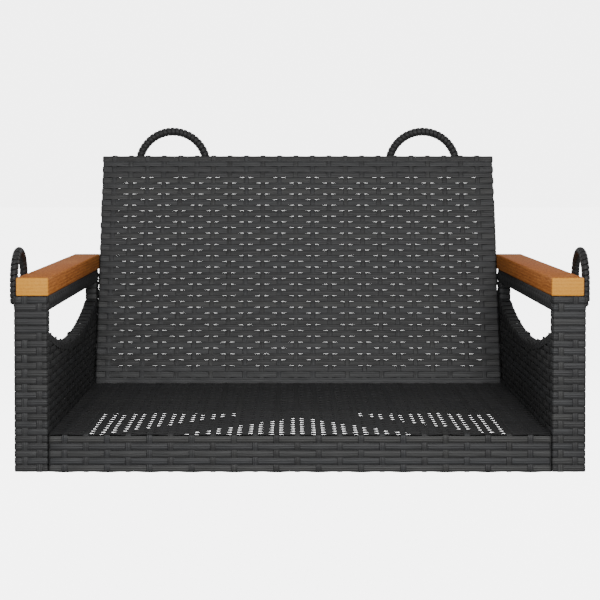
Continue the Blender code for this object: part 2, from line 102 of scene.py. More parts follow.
def strip_blank(segments):
    """A strip of that many segments, each 1 long, as its coordinates and its mesh."""
    if segments in blanks:
        return blanks[segments]
    bpy.ops.object.select_all(action="DESELECT")
    bpy.ops.mesh.primitive_cube_add(size=1, scale=(1, 1, BLANK_HEIGHT))
    blank = bpy.context.object
    bpy.ops.object.mode_set(mode="EDIT")
    select_edges(blank, lambda edge: all(
        point.co.z > 0 and point.co.y * edge.verts[0].co.y > 0 for point in edge.verts))
    bpy.ops.mesh.bevel(offset=CROWN, segments=1)
    select_edges(blank, lambda e: False)
    bpy.ops.mesh.select_mode(type="FACE")
    shape = bmesh.from_edit_mesh(blank.data)
    for face in shape.faces:
        face.select = abs(face.normal.x) > 0.9  # the two ends
    bmesh.update_edit_mesh(blank.data)
    bpy.ops.mesh.delete(type="FACE")
    bpy.ops.object.mode_set(mode="OBJECT")
    length = blank.modifiers.new("Length", "ARRAY")
    length.count = segments
    length.use_merge_vertices = True
    length.merge_threshold = 0.0001
    bpy.ops.object.modifier_apply(modifier="Length")
    bpy.ops.object.mode_set(mode="EDIT")
    bpy.ops.mesh.select_all(action="SELECT")
    bpy.ops.mesh.fill_holes(sides=0)
    bpy.ops.object.mode_set(mode="OBJECT")
    shape = np.array([v.co for v in blank.data.vertices])
    shape[:, 0] -= shape[:, 0].min()
    blanks[segments] = (shape, blank.data)
    bpy.data.objects.remove(blank)
    return blanks[segments]


print("blank section points", len(strip_blank(1)[0]) // 2)

# %% [markdown]
# A weaver bends a strip along the line that it follows. lay() does the same: each cross-section of
# the blank moves to its station on the line and turns square to it. It also writes down, for the
# finish, how far along and across the strip each point is, and one random number per strip, so that
# no two strips have quite the same tone.

# %% Lay a strip along a line
STRIP = 0.0011  # thickness
STRIP_WIDTH = 0.008
PROUD = 0.0008  # how far the crowns stand out of the plain covers that they replace
CREST = PROUD - STRIP / 2  # height of a strip's middle where it lies on top


def unit(rows):
    return rows / np.linalg.norm(rows, axis=-1, keepdims=True)


def lay(points, normals, width, thickness=STRIP):
    """A strip along a line of points, with its crowned side towards the normals."""
    points = np.asarray(points, float)
    shape, mesh = strip_blank(len(points) - 1)
    station = np.rint(shape[:, 0]).astype(int)
    ahead = unit(np.gradient(points, axis=0))
    across = unit(np.cross(normals, ahead))
    up = np.cross(ahead, across)
    side = shape[:, 1] * width
    rise = shape[:, 2] / BLANK_HEIGHT * thickness
    placed = points[station] + across[station] * side[:, None] + up[station] * rise[:, None]
    strip = bpy.data.objects.new("strip", mesh.copy())
    bpy.context.scene.collection.objects.link(strip)
    strip.data.vertices.foreach_set("co", placed.ravel())
    steps = np.linalg.norm(np.diff(points, axis=0), axis=1)
    along = np.concatenate([[0], np.cumsum(steps)]) + chance.random()
    tone = np.full(len(side), chance.random())
    facts = np.column_stack([along[station], shape[:, 1] * STRIP_WIDTH, tone])
    strip.data.attributes.new("strip", "FLOAT_VECTOR", "POINT").data.foreach_set("vector", facts.ravel())
    return strip


print("a strip on top rises", round(PROUD * 1000, 2), "mm over the plain covers")

# %% [markdown]
# Nearly every strip runs over flat faces and turns round the corners of a tube. route() takes the
# corners, rounds them as a pulled strip does, and puts stations close together only on the runs that
# are woven. Next to each point it keeps how far along the unrounded line it is, so that the crossings
# stay where they are planned.

# %% Rounded routes and the wave of a weave
CORNER = 0.0026  # rounding of a strip where it turns round a tube
CORNER_STEPS = np.linspace(0, 1, 5)
SPACING = 0.0045  # between the stations of a woven run


def route(corners, woven=(), spacing=SPACING, radius=CORNER):
    """Points along a line with rounded corners, and how far along the line each of them is."""
    corners = [np.asarray(c, float) for c in corners]
    runs = [b - a for a, b in zip(corners, corners[1:])]
    lengths = [np.linalg.norm(run) for run in runs]
    points, marks, done = [], [], 0.0
    for i, (corner, run, length) in enumerate(zip(corners, runs, lengths)):
        way = run / length
        start = radius if i else 0.0
        end = length - radius if i < len(runs) - 1 else length
        count = max(1, round((end - start) / spacing)) if i in woven else 1
        for share in np.linspace(0, 1, count + 1)[(1 if i else 0):]:
            place = start + (end - start) * share
            points.append(corner + way * place)
            marks.append(done + place)
        done += length
        if i < len(runs) - 1:
            turn, next_way = corners[i + 1], runs[i + 1] / lengths[i + 1]
            for t in CORNER_STEPS[1:]:
                points.append(turn - way * radius * (1 - t) ** 2 + next_way * radius * t ** 2)
                marks.append(done - radius + 2 * radius * t)
    return np.array(points), np.array(marks)


def ease(at, knots, values):
    """Smooth waves between the values that are given at the knots."""
    knots, values = np.asarray(knots, float), np.asarray(values, float)
    at = np.clip(at, knots[0], knots[-1])
    i = np.clip(np.searchsorted(knots, at) - 1, 0, len(knots) - 2)
    share = (at - knots[i]) / (knots[i + 1] - knots[i])
    return values[i] + (values[i + 1] - values[i]) * (1 - np.cos(np.pi * share)) / 2


def weave_along(points, across, lift, width, thickness=STRIP):
    """Lays a strip on a route, raised by lift; across is the direction of its width."""
    out = unit(np.cross(np.gradient(points, axis=0), across))
    return lay(points + out * np.reshape(lift, (-1, 1)), out, width, thickness)


def in_front(stake, row):
    """Plain weave: 1 where the row passes in front of the stake, -1 where it passes behind."""
    return 1 if (stake + row) % 2 == 0 else -1


print("stations of a line with one corner:", len(route([(0, 0, 0), (1, 0, 0), (1, 1, 0)])[0]))

# %% [markdown]
# Each woven piece is many strips joined into one mesh, shaded smooth over the crowns and sharp at the
# strip edges. The piece then rides on the swing's only body and stands for the plain covers that it
# replaces.

# %% Join strips into a piece
SMOOTH_ANGLE = math.radians(48)
made = []


def settle(piece, name, slot, replaced):
    piece.name = piece.data.name = name
    bpy.ops.object.select_all(action="DESELECT")
    piece.select_set(True)
    bpy.context.view_layer.objects.active = piece
    bpy.ops.object.shade_smooth_by_angle(angle=SMOOTH_ANGLE)
    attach(piece, "root")
    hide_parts(*replaced)
    made.append((piece, slot))
    piece.data.calc_loop_triangles()
    print(name, len(piece.data.loop_triangles), "triangles")


def gather(strips, name, *replaced):
    bpy.ops.object.select_all(action="DESELECT")
    for strip in strips:
        strip.select_set(True)
    bpy.context.view_layer.objects.active = strips[0]
    if len(strips) > 1:
        bpy.ops.object.join()
    settle(strips[0], name, "rattan", replaced)


print("edges sharper than", round(math.degrees(SMOOTH_ANGLE)), "degrees stay sharp")

# %% [markdown]
# The seat and the backrest share one set of upright strips, the stakes, about 27 mm apart. The
# crosswise strips, the rows, pass in front of one stake and behind the next, and light shines through
# the small slits that they leave. Over a tube every strip swings equally far. Over the open field the
# seat is woven a little tighter than that and the backrest a little looser.

# %% Stakes and slack
STAKE_PITCH = 0.02687
STAKE_COUNT = 23
STAKE_SHIFT = -0.0031  # the whole set stands a little left of the middle
STAKE_WIDTH = 0.0076
TIGHT = 0.0006  # how far a strip swings to each side over a tube
FADE = 0.008  # over which the slack comes in

stakes = STAKE_SHIFT + STAKE_PITCH * (np.arange(STAKE_COUNT) - (STAKE_COUNT - 1) / 2)


def field(at, low, high, fade=FADE):
    """0 outside the limits, 1 inside them, with a soft change."""
    share = np.clip(np.minimum(at - low, high - at) / fade, 0, 1)
    return share * share * (3 - 2 * share)


def row_wave(x, row, slack):
    """How high a crosswise strip lies over the stakes."""
    knots = np.concatenate([[stakes[0] - STAKE_PITCH], stakes, [stakes[-1] + STAKE_PITCH]])
    signs = [in_front(i - 1, row) for i in range(len(knots))]
    return slack * ease(x, knots, signs) - slack + CREST


def stake_wave(marks, stake, row_marks, rows, slack):
    """How high a stake lies, against the rows that cross it."""
    signs = [-in_front(stake, row) for row in rows]
    return np.minimum(slack, TIGHT) * ease(marks, row_marks, signs) - slack + CREST


print("stakes from", round(stakes[0], 4), "to", round(stakes[-1], 4))

# %% [markdown]
# The seat's stakes are single long strips: they start under the front rail, climb its face, cross the
# seat and go down and under the rear rail. The rows cross them and are wound round the side rails.

# %% Seat measures
seat_low, seat_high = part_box("seat_weave")
rail_low, rail_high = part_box("seat_front_cover")
SEAT_SLACK = 0.00053  # how far a strip swings to each side in the open field
SEAT_ROWS = 58
SEAT_ROW_WIDTH = 0.0079
SEAT_STRIP = 0.0008  # thickness of the seat's rows
APRON_ROWS = 5
APRON_PITCH = 0.00928
UNDER_ROWS = 2

seat_depth = seat_high.y - seat_low.y
seat_top = seat_high.z
rail_depth = rail_high.y - rail_low.y
seat_pitch = seat_depth / SEAT_ROWS
seat_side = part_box("seat_left_cover")
rail_inner = -seat_side[1].x
TUCK = 0.010  # how far a strip's end is pushed in behind a rail

under = [rail_depth * (i + 0.5) / UNDER_ROWS for i in range(UNDER_ROWS)]
apron = [APRON_PITCH * (i + 0.5) for i in range(APRON_ROWS)]
front_foot = TUCK + rail_depth
front_edge = front_foot + seat_top
rear_edge = front_edge + seat_depth
rear_foot = rear_edge + seat_top
seat_marks = [
    *(TUCK + rail_depth - u for u in reversed(under)), *(front_foot + a for a in apron),
    *(front_edge + seat_pitch * (i + 0.5) for i in range(SEAT_ROWS)),
    *(rear_foot - a for a in reversed(apron)), *(rear_foot + u for u in under),
]
seat_numbers = [i - UNDER_ROWS - APRON_ROWS for i in range(len(seat_marks))]
print("seat row pitch", round(seat_pitch * 1000, 2), "mm")

# %% [markdown]
# A stake's height is set against every row that crosses it, first under the front rail, then up the
# face, over the seat and down again.

# %% Seat stakes
stake_strips = []
for i, x in enumerate(stakes):
    y0, y1 = seat_low.y, seat_high.y
    corners = [
        (x, y0 + rail_depth, TUCK), (x, y0 + rail_depth, 0), (x, y0, 0), (x, y0, seat_top),
        (x, y1, seat_top), (x, y1, 0), (x, y1 - rail_depth, 0), (x, y1 - rail_depth, TUCK),
    ]
    points, marks = route(corners, woven=(1, 2, 3, 4, 5), spacing=seat_pitch / 3)
    inside = field(marks, front_edge + rail_depth, rear_edge - rail_depth)
    if abs(x) > rail_inner:
        inside = inside * 0
    slack = TIGHT + (SEAT_SLACK - TIGHT) * inside
    lift = stake_wave(marks, i, seat_marks, seat_numbers, slack)
    stake_strips.append(weave_along(points, (-1, 0, 0), lift, STAKE_WIDTH))
gather(stake_strips, "seat_stakes", "seat_weave")

# %% [markdown]
# The seat's rows run across from one side rail to the other and are wound once round each. The first
# and last rows lie on the end rails, so they swing as strips do over a tube.

# %% Seat rows
row_strips = []
outer = seat_high.x
for row in range(SEAT_ROWS):
    y = seat_low.y + seat_pitch * (row + 0.5)
    on_end_rail = min(y - seat_low.y, seat_high.y - y) < rail_depth
    corners = [(-outer, y, 0), (-outer, y, seat_top), (outer, y, seat_top), (outer, y, 0)]
    if not on_end_rail:
        left_end = [(-rail_inner, y, seat_top - TUCK / 2), (-rail_inner, y, 0)]
        right_end = [(rail_inner, y, 0), (rail_inner, y, seat_top - TUCK / 2)]
        corners = [*left_end, *corners, *right_end]
    points, _ = route(corners, woven=(1,) if on_end_rail else (3,), spacing=STAKE_PITCH / 6)
    on_top = points[:, 2] > seat_top - CORNER
    inside = field(points[:, 0], -rail_inner, rail_inner) * (not on_end_rail)
    slack = TIGHT + (SEAT_SLACK - TIGHT) * inside
    lift = np.where(on_top, row_wave(points[:, 0], row, slack), -STRIP)
    row_strips.append(weave_along(points, (0, 1, 0), lift, SEAT_ROW_WIDTH, SEAT_STRIP))
gather(row_strips, "seat_rows", "seat_left_cover", "seat_right_cover")

# %% [markdown]
# The front and rear rails show as aprons of five rows each, with two more underneath. They are woven
# with the same stakes, held tight on the steel.

# %% Aprons
APRON_ROW_WIDTH = 0.0087
APRON_INSET = PROUD * 1.5  # keeps the rows clear of the posts' strips
apron_half = outer - APRON_INSET


def rail_row(start, end, out, row, width):
    """A row along X, held tight on a rail and woven with the stakes; out is where its face looks."""
    points, _ = route([start, end], woven=(0,), spacing=STAKE_PITCH / 6)
    across = np.cross(out, unit(points[-1] - points[0]))
    return weave_along(points, across, row_wave(points[:, 0], row, TIGHT), width)


def apron_piece(name, y, out, numbers):
    """Five rows on one face of the seat and two under it; out is -1 at the front and 1 at the rear."""
    strips = []
    for number, z in zip(numbers, reversed(apron)):
        back = y - out * TUCK
        reach = apron_half * out
        corners = [(reach, back, z), (reach, y, z), (-reach, y, z), (-reach, back, z)]
        points, _ = route(corners, woven=(1,), spacing=STAKE_PITCH / 6)
        on_face = (y - points[:, 1]) * out < CORNER
        lift = np.where(on_face, row_wave(points[:, 0], number, TIGHT), -STRIP)
        strips.append(weave_along(points, (0, 0, 1), lift, APRON_ROW_WIDTH))
    for number, depth in zip(numbers[APRON_ROWS:], under):
        ends = [(side * apron_half, y - out * depth, 0) for side in (-1, 1)]
        strips.append(rail_row(*ends, (0, 0, -1), number, APRON_ROW_WIDTH))
    gather(strips, name, f"seat_{name.split('_')[0]}_cover")


apron_piece("front_apron", seat_low.y, -1, [-1 - i for i in range(APRON_ROWS + UNDER_ROWS)])
apron_piece("rear_apron", seat_high.y, 1, [SEAT_ROWS + i for i in range(APRON_ROWS + UNDER_ROWS)])

# %% [markdown]
# The backrest is woven like the seat, but leaning, so its strips are placed by how high they are
# along the slope and how deep they are behind its face. The slope is read from the plain panel that
# the weave replaces.

# %% Backrest measures
panel = np.array([v.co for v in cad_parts["back_weave"].data.vertices])
top_corner = panel[panel[:, 2].argmax()]
foot_corner = panel[panel[:, 1].argmin()]
slope = unit(np.array([0, *(top_corner - foot_corner)[1:]]))
behind = np.array([0, slope[2], -slope[1]])
BACK_LENGTH = 0.375
BACK_THICKNESS = 0.020
BACK_TOP_RAIL = 0.028
BACK_BOTTOM_RAIL = 0.018
BACK_STILE = 0.024
BACK_SLACK = 0.0007  # how far a row swings to each side in the open field
BACK_ROWS = 40
BACK_PITCH = 0.00941
BACK_FIRST = 0.00915  # height of the first gap between two rows
BACK_ROW_WIDTH = 0.00933
TOP_LAP = 0.0012  # how far the stakes stand out over the top edge
LAP_FADE = 0.004
TOP_ROWS, REAR_ROWS, BOTTOM_ROWS = 2, 3, 2
LOWEST_CROSSING = BACK_THICKNESS * 0.3  # of the lowest row, from the rear of the rail's underside

foot = np.array([0, *top_corner[1:]]) - slope * BACK_LENGTH
back_half = abs(panel[:, 0]).max()
stile_in = back_half - BACK_STILE
rail_foot = BACK_THICKNESS * slope[1] / slope[2]
low_rail_top = rail_foot + BACK_BOTTOM_RAIL
high_rail_foot = BACK_LENGTH - BACK_TOP_RAIL


def on_back(x, up, depth):
    return foot + slope * up + behind * depth + np.array([x, 0, 0])


back_heights = [BACK_FIRST + BACK_PITCH * (row - 0.5) for row in range(BACK_ROWS)]
back_heights[-1] = BACK_LENGTH - BACK_ROW_WIDTH / 2
print("backrest leans", round(math.degrees(math.atan2(slope[1], slope[2])), 2), "degrees")

# %% [markdown]
# A backrest stake starts behind the bottom rail, passes under it, climbs the face and is folded over
# the top rail, where it lies over the rows and makes the small bumps along the upper edge.

# %% Backrest stakes
back_strips = []
turn_low = low_rail_top - rail_foot  # length of the first run, down the rear of the bottom rail
front_start = turn_low + BACK_THICKNESS - rail_foot  # where the face's height would be 0
back_top_mark = front_start + BACK_LENGTH
back_rear_mark = back_top_mark + BACK_THICKNESS
back_marks = [
    *(turn_low * (i + 0.5) / BOTTOM_ROWS for i in range(BOTTOM_ROWS)), turn_low + LOWEST_CROSSING,
    *(front_start + h for h in back_heights[1:]),
    *(back_top_mark + BACK_THICKNESS * (i + 0.5) / TOP_ROWS for i in range(TOP_ROWS)),
    *(back_rear_mark + BACK_TOP_RAIL * (i + 0.5) / REAR_ROWS for i in range(REAR_ROWS)),
]
back_numbers = [-2, -1, 0, *range(1, BACK_ROWS + TOP_ROWS + REAR_ROWS)]
for i, x in enumerate(stakes):
    corners = [
        on_back(x, low_rail_top, BACK_THICKNESS), on_back(x, rail_foot, BACK_THICKNESS),
        on_back(x, rail_foot, 0), on_back(x, BACK_LENGTH, 0), on_back(x, BACK_LENGTH, BACK_THICKNESS),
        on_back(x, high_rail_foot, BACK_THICKNESS), on_back(x, high_rail_foot, BACK_THICKNESS - TUCK),
    ]
    points, marks = route(corners, woven=(0, 1, 2, 3, 4), spacing=BACK_PITCH / 3)
    inside = field(marks - front_start, low_rail_top, high_rail_foot)
    if abs(x) > stile_in:
        inside = inside * 0
    slack = TIGHT + (BACK_SLACK - TIGHT) * inside
    lift = stake_wave(marks, i, back_marks, back_numbers, slack)
    over = field(marks, back_top_mark - LAP_FADE, back_rear_mark + LAP_FADE, LAP_FADE)
    lift = lift + (TOP_LAP - lift) * over
    back_strips.append(weave_along(points, (-1, 0, 0), lift, STAKE_WIDTH))
gather(back_strips, "back_stakes", "back_weave")

# %% [markdown]
# Each row of the backrest is wound round both side tubes: across the front, round the edge, over the
# rear of the tube and in behind it.

# %% Backrest rows
BOARD_ROOM = 0.010  # rows this near to an armrest lie lower round the side tube, to clear it
EDGE_LIFT = STRIP * 0.3  # height of the other rows' middle there
ROW_END_DEPTH = BACK_THICKNESS * 0.3  # where a row ends, on the side tube's inner face
board_low, board_high = (corner.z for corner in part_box("left_armrest"))
back_rows = []
for row, up in enumerate(back_heights):
    beside_rail = low_rail_top < up < high_rail_foot
    reach = [(stile_in, ROW_END_DEPTH)] if beside_rail else []
    half_path = [(back_half, 0), (back_half, BACK_THICKNESS), (stile_in, BACK_THICKNESS), *reach]
    corners = [on_back(-x, up, depth) for x, depth in reversed(half_path)]
    corners += [on_back(x, up, depth) for x, depth in half_path]
    front_run = len(half_path) - 1
    points, _ = route(corners, woven=(front_run,), spacing=STAKE_PITCH / 6)
    depth = (points - foot) @ behind
    inside = field(points[:, 0], -stile_in, stile_in) * field(up, low_rail_top, high_rail_foot)
    slack = TIGHT + (BACK_SLACK - TIGHT) * inside
    beside_board = board_low - BOARD_ROOM < points[0, 2] < board_high + BOARD_ROOM
    at_edge = 0 if beside_board else EDGE_LIFT
    lift = np.where(depth < CORNER, row_wave(points[:, 0], row, slack), at_edge)
    back_rows.append(weave_along(points, slope, lift, BACK_ROW_WIDTH))
gather(back_rows, "back_rows", "back_left_cover", "back_right_cover")

# %% [markdown]
# The top and bottom rails are covered by rows of their own: two along the top edge, three down the
# rear of the top rail and two on the rear of the bottom rail.

# %% Rows on the backrest's rails
COVERAGE = 0.94  # of its pitch that a strip covers where strips lie side by side
rear_pitch = BACK_TOP_RAIL / REAR_ROWS
top_pitch = BACK_THICKNESS / TOP_ROWS
low_pitch = BACK_BOTTOM_RAIL / BOTTOM_ROWS


def across_back(number, up, depth, half, out, pitch):
    """A row of its own on a rail of the backrest."""
    ends = [on_back(side * half, up, depth) for side in (-1, 1)]
    return rail_row(*ends, out, number, pitch * COVERAGE)


top_rows = []
for i in range(TOP_ROWS):
    number, depth = BACK_ROWS + i, top_pitch * (i + 0.5)
    top_rows.append(across_back(number, BACK_LENGTH, depth, back_half, slope, top_pitch))
for i in range(REAR_ROWS):
    number, up = BACK_ROWS + TOP_ROWS + i, BACK_LENGTH - rear_pitch * (i + 0.5)
    top_rows.append(across_back(number, up, BACK_THICKNESS, stile_in, behind, rear_pitch))
gather(top_rows, "back_top_rows", "back_top_cover")

bottom_rows = []
for i in range(BOTTOM_ROWS):
    up = low_rail_top - low_pitch * (i + 0.5)
    bottom_rows.append(across_back(i - BOTTOM_ROWS, up, BACK_THICKNESS, stile_in, behind, low_pitch))
gather(bottom_rows, "back_bottom_rows", "back_bottom_cover")

# %% [markdown]
# Posts and arm rails are rectangular tubes wound with rings of strip, tied by a few long strips that
# show only where they pass in front. One function winds any such tube: it is told the corner to start
# from, its three directions, its size, and where round its girth the long strips lie.

# %% Wind a tube
BAND_PITCH = 0.00914
BAND_WIDTH = 0.0087
BAND_SPACING = 0.0042  # between stations, fine enough for a dip under a long strip
UNEVEN = STRIP * 0.2  # how much lower one hand-wound ring may lie than the next


def wind_tube(corner, axes, size, pitch, tied, shift=0, plain=(), capped=(), sunk=False):
    """Strips round a tube that starts at a corner; axes and size run across, through and along it.

    tied lists how far round the girth each long strip lies, from the middle of the far side. Rows
    in plain pass in front of all the long strips, shift moves the pattern by a row, capped gives
    the ends (0, 1) that are closed, and a far side that is sunk leaves room for a board.
    """
    corner = np.asarray(corner, float)
    u, v, w = (np.asarray(axis, float) for axis in axes)
    wide, deep, long = size
    rows = round(long / pitch)
    step = long / rows
    centres = [step * (i + 0.5) for i in range(rows)]
    outline = [(wide / 2, deep), (0, deep), (0, 0), (wide, 0), (wide, deep), (wide / 2, deep)]
    loop = [corner + u * a + v * b for a, b in outline]
    points, marks = route(loop, woven=(1, 2, 3) if tied else (), spacing=BAND_SPACING)
    strips = []
    far = (points - corner) @ v > deep - CORNER
    for row, centre in enumerate(centres):
        lift = np.full(len(points), CREST - chance.random() * UNEVEN)
        for i, mark in enumerate(tied):
            if row not in plain and in_front(i + shift, row) < 0:
                near = field(marks, mark - STAKE_WIDTH, mark + STAKE_WIDTH, STAKE_WIDTH)
                lift = lift - 2 * TIGHT * near
        if sunk:
            lift = np.where(far, -STRIP, lift)
        strips.append(weave_along(points + w * centre, w, lift, BAND_WIDTH * step / pitch))
    for i, mark in enumerate(tied):
        place = np.array([np.interp(mark, marks, points[:, k]) for k in range(3)])
        ahead = np.array([np.interp(mark + STRIP, marks, points[:, k]) for k in range(3)]) - place
        signs = [-1 if row in plain else -in_front(i + shift, row) for row in range(rows)]
        line, heights = route([place, place + w * long], woven=(0,), spacing=step / 3)
        lift = TIGHT * (ease(heights, centres, signs) - 1) + CREST
        strips.append(weave_along(line, unit(-ahead), lift, STAKE_WIDTH))
    for end in capped:
        strips += cap_end(corner + w * long * end, u, v, w * (1 if end else -1), wide, deep)
    return strips


def cap_end(corner, u, v, out, wide, deep):
    """Short strips side by side over the end of a tube, tucked in under its last ring."""
    count = max(1, round(wide / BAND_PITCH))
    step = wide / count
    tucked = -out * CORNER * 2
    across = -u * np.dot(np.cross(u, v), out)
    strips = []
    for i in range(count):
        start = corner + u * step * (i + 0.5)
        end = start + v * deep
        points, _ = route([start + tucked, start, end, end + tucked])
        strips.append(weave_along(points, across, CREST - STRIP / 2, step * COVERAGE))
    return strips


print("rings per metre of tube:", round(1 / BAND_PITCH))

# %% [markdown]
# The front posts show the winding best. Two long strips climb each wide face, nearer its outer edge,
# and half way up three rings pass in front of both.

# %% Front posts
OUTER_TIE, INNER_TIE = 0.0128, 0.0314  # from a post's outer edge to the long strips on its face
PLAIN_ROWS = (19, 20, 21)  # that pass in front of both
SIDES = (("left", -1), ("right", 1))


def between(low, high):
    return [high[i] - low[i] for i in range(3)]


for name, hand in SIDES:
    low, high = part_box(f"{name}_front_post_cover")
    wide, deep, tall = between(low, high)
    face = [OUTER_TIE, INNER_TIE] if hand < 0 else [wide - INNER_TIE, wide - OUTER_TIE]
    side = wide / 2 + deep
    tied = [wide / 4, wide / 2 + deep / 2, side + face[0], side + face[1], side + wide + deep / 2,
            side + wide + deep + wide / 4]
    strips = wind_tube(low, np.eye(3), (wide, deep, tall), BAND_PITCH, tied, shift=0 if hand < 0 else 1,
                       plain=PLAIN_ROWS, capped=(0,))
    gather(strips, f"{name}_post_winding", f"{name}_front_post_cover")

# %% [markdown]
# Arm rails and rear posts are wound in the same way. An arm rail's upper side is kept low, for the
# board that lies on it, and the slim rear posts need no long strips.

# %% Arm rails and rear posts
UNDER_TIES = (0.3, 0.7)  # of its width, where an arm rail's long strips lie on its underside

for name, _ in SIDES:
    low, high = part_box(f"{name}_arm_rail_cover")
    wide, long, deep = between(low, high)
    axes = ((-1, 0, 0), (0, 0, 1), (0, 1, 0))
    side = wide / 2 + deep
    tied = [wide / 2 + deep / 2, *(side + wide * share for share in UNDER_TIES), side + wide + deep / 2]
    strips = wind_tube((high.x, low.y, low.z), axes, (wide, deep, long), BAND_PITCH, tied, capped=(1,),
                       sunk=True)
    gather(strips, f"{name}_arm_winding", f"{name}_arm_rail_cover")
    low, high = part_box(f"{name}_rear_post_cover")
    wide, deep, tall = between(low, high)
    strips = wind_tube(low, np.eye(3), (wide, deep, tall), BAND_PITCH, [], capped=(0,))
    gather(strips, f"{name}_rear_winding", f"{name}_rear_post_cover")

# %% [markdown]
# Each side panel has a hollow upper edge, one long arc. The arc's centre and radius follow from the
# panel's length and from how far the arc sags.

# %% Side panel measures
PANEL_SLACK = 0.0009  # how far a row swings to each side above the base rail
ARCH_SAG = 0.0344


def arch_of(name):
    """The middle of a side panel, the radius of its hollow edge and the height of the arc's centre."""
    low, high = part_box(f"{name}_side_panel")
    half = (high.y - low.y) / 2
    radius = (half ** 2 + ARCH_SAG ** 2) / (2 * ARCH_SAG)
    return (low.y + high.y) / 2, radius, high.z - ARCH_SAG + radius


def edge_height(name, y):
    middle, radius, centre = arch_of(name)
    return centre - math.sqrt(radius ** 2 - (y - middle) ** 2)


def panel_grid(name):
    """Where the stakes of a side panel stand along it, and how high its rows lie."""
    low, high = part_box(f"{name}_side_panel")
    count = round((high.y - low.y) / STAKE_PITCH)
    places = [low.y + (high.y - low.y) * (i + 0.5) / count for i in range(count)]
    return places, [BAND_PITCH * (row + 0.5) for row in range(int(high.z / BAND_PITCH))]


def panel_slack(name, z):
    """Slack of a side panel's weave: tight on the base rail, loose above it."""
    base_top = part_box(f"{name}_base_rail")[1].z
    return np.where(z < base_top + BAND_PITCH / 2, TIGHT, PANEL_SLACK)


print("side panel: stakes and rows", [len(part) for part in panel_grid("left")])

# %% [markdown]
# The rows lie on both faces. Where the hollow edge cuts into a row, the row is left as two shorter
# ones, one at each end of the panel. Two more strips close the underside.

# %% Side panel rows
CUT_ROOM = BAND_PITCH * 0.1  # a row stops where the edge is only this far above its middle
SOLE_PLACES = (0.26, 0.74)  # of the panel's thickness


def row_spans(name, z):
    """From where to where a side panel's row runs."""
    low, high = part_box(f"{name}_side_panel")
    middle, radius, centre = arch_of(name)
    cut = z + CUT_ROOM - (centre - radius)
    if cut <= 0:
        return [(low.y, high.y)]
    stop = middle - math.sqrt(radius ** 2 - (radius - cut) ** 2)
    spans = [(low.y, stop), (2 * middle - stop, high.y)]
    return [span for span in spans if span[1] - span[0] >= BAND_PITCH]


def panel_rows(name):
    low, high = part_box(f"{name}_side_panel")
    places, heights = panel_grid(name)
    knots = [places[0] - STAKE_PITCH, *places, places[-1] + STAKE_PITCH]
    strips = []
    for row, z in enumerate(heights):
        signs = [in_front(i, row) for i in range(len(knots))]
        for start, end in row_spans(name, z):
            for x, ends in ((low.x, (end, start)), (high.x, (start, end))):
                line, _ = route([(x, y, z) for y in ends], (0,), STAKE_PITCH / 6)
                lift = panel_slack(name, z) * (ease(line[:, 1], knots, signs) - 1) + CREST
                strips.append(weave_along(line, (0, 0, 1), lift, BAND_WIDTH))
    for share in SOLE_PLACES:
        x = low.x + (high.x - low.x) * share
        line, _ = route([(x, high.y, 0), (x, low.y, 0)])
        strips.append(weave_along(line, (1, 0, 0), -STRIP * 2, BAND_WIDTH))
    return strips


print("parts of each row, from below:", [len(row_spans("left", z)) for z in panel_grid("left")[1]])

# %% [markdown]
# The panel's stakes go right round it, up one face, over the edge and down the other. A fringe of
# short strips is folded over the hollow edge, every second one a little prouder, and hides where the
# shortened rows stop.

# %% Side panel stakes and edge
PANEL_STAKE_WAVE = 0.00045  # the most that a stake swings to each side
EDGE_FOLD = 0.010  # how far the folded strips reach down each face
EDGE_PITCH = 0.0093
FOLD_COVERAGE = 0.95
FOLD_LIFTS = (PROUD * 0.2, PROUD * 1.1)


def panel_stakes(name):
    low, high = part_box(f"{name}_side_panel")
    places, heights = panel_grid(name)
    x_middle = (low.x + high.x) / 2
    strips = []
    for i, y in enumerate(places):
        top = edge_height(name, y)
        climb, descent = [(high.x, y, 0), (high.x, y, top)], [(low.x, y, top), (low.x, y, 0)]
        loop = [(x_middle, y, 0), *climb, *descent, (x_middle, y, 0)]
        line, _ = route(loop, woven=(1, 3), spacing=BAND_PITCH / 3)
        z = line[:, 2]
        signs = [-in_front(i + 1, row) for row in range(len(heights))]
        slack = panel_slack(name, z)
        wave = np.minimum(slack, PANEL_STAKE_WAVE) * ease(z, heights, signs) - slack
        lift = np.where((z < top - CORNER) & (z > CORNER), wave, -STRIP) + CREST
        strips.append(weave_along(line, (0, -1, 0), lift, STAKE_WIDTH))
    return strips


def edge_folds(name):
    low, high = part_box(f"{name}_side_panel")
    middle, radius, _ = arch_of(name)
    length = high.y - low.y
    count = round(length / EDGE_PITCH)
    strips = []
    for i in range(count):
        y = low.y + length * (i + 0.5) / count
        lean = math.asin((y - middle) / radius)
        along = np.array([0, math.cos(lean), math.sin(lean)])
        down = np.array([0, math.sin(lean), -math.cos(lean)]) * EDGE_FOLD
        over = [np.array([x, y, edge_height(name, y)]) for x in (high.x, low.x)]
        line, _ = route([over[0] + down, *over, over[1] + down])
        strips.append(weave_along(line, -along, FOLD_LIFTS[i % 2], EDGE_PITCH * FOLD_COVERAGE))
    return strips


for name, _ in SIDES:
    strips = panel_rows(name) + panel_stakes(name) + edge_folds(name)
    gather(strips, f"{name}_panel_weave", f"{name}_side_panel")

# %% [markdown]
# The four hanging rings are bent rods wound with one long strip, like a bound handle. The strip is a
# helix round the ring's centre line, which is read from the box of the plain cover.

# %% Ring windings
WIND_PITCH = 0.0068
WIND_STATIONS = 12  # in one turn
WIND_THICKNESS = 0.0016
WIND_COVERAGE = 0.95
WIND_SINK = WIND_THICKNESS * 0.2  # how far the strip's middle lies inside the plain cover's surface
ROD_SHARE = 0.6  # of a winding's radius that its rod takes up
RING_BEND = 0.0065


